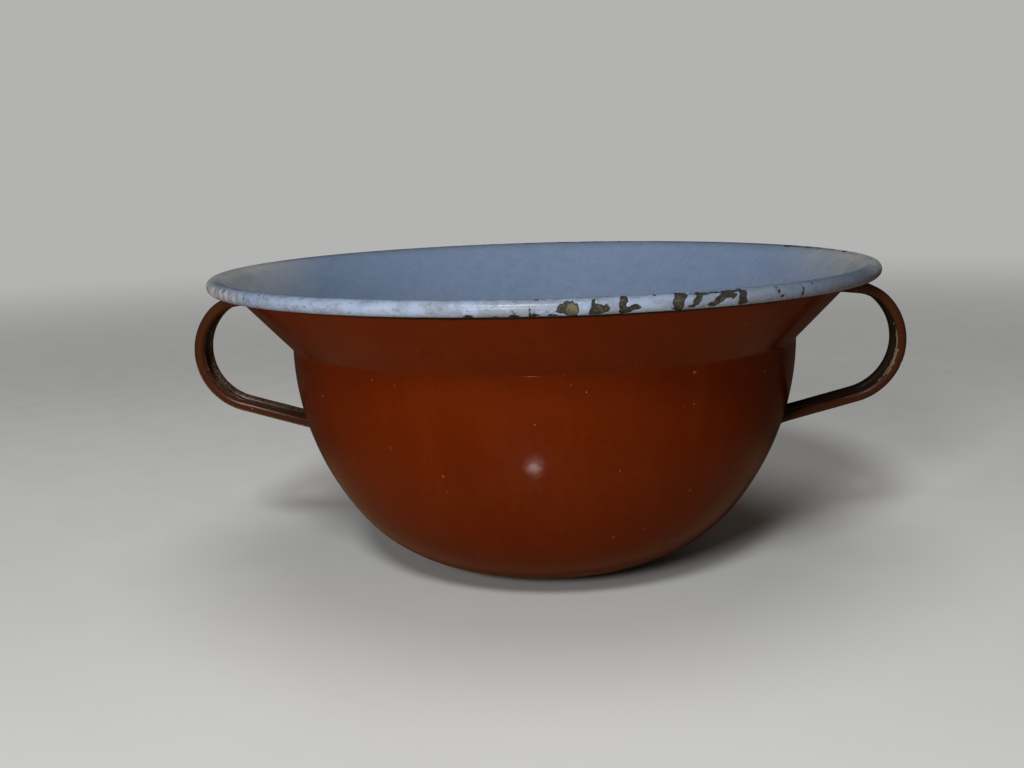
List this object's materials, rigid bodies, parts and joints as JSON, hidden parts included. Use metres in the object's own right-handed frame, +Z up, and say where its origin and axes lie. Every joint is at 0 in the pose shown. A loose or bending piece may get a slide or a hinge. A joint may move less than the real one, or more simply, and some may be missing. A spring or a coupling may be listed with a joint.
{
  "type": "enamelled bowl with two handles",
  "caption": "Round enamelled-steel bowl with a flared collar, a rolled rim and an upright strap handle on each side, standing on a small flat base.",
  "frame": {"origin": "centre of the flat base, on the surface that the bowl stands on", "axes": "+Z up along the bowl's axis, +X and -X through the two handles"},
  "size_m": [0.3052, 0.28, 0.127],
  "materials": {
    "bare_steel": "dark oxidised sheet steel, seen only where the enamel has chipped",
    "blue_enamel": "mottled blue vitreous enamel, satin, chipped along the rim",
    "brown_enamel": "red-brown vitreous enamel, glossy, with small pits and rubbed marks"
  },
  "bodies": {
    "root": {"bowl_shell": "bare_steel", "inside_enamel": "blue_enamel", "outside_enamel": "brown_enamel", "right_handle": "bare_steel", "left_handle": "bare_steel", "right_handle_enamel": "brown_enamel", "left_handle_enamel": "brown_enamel"}
  },
  "joints": []
}
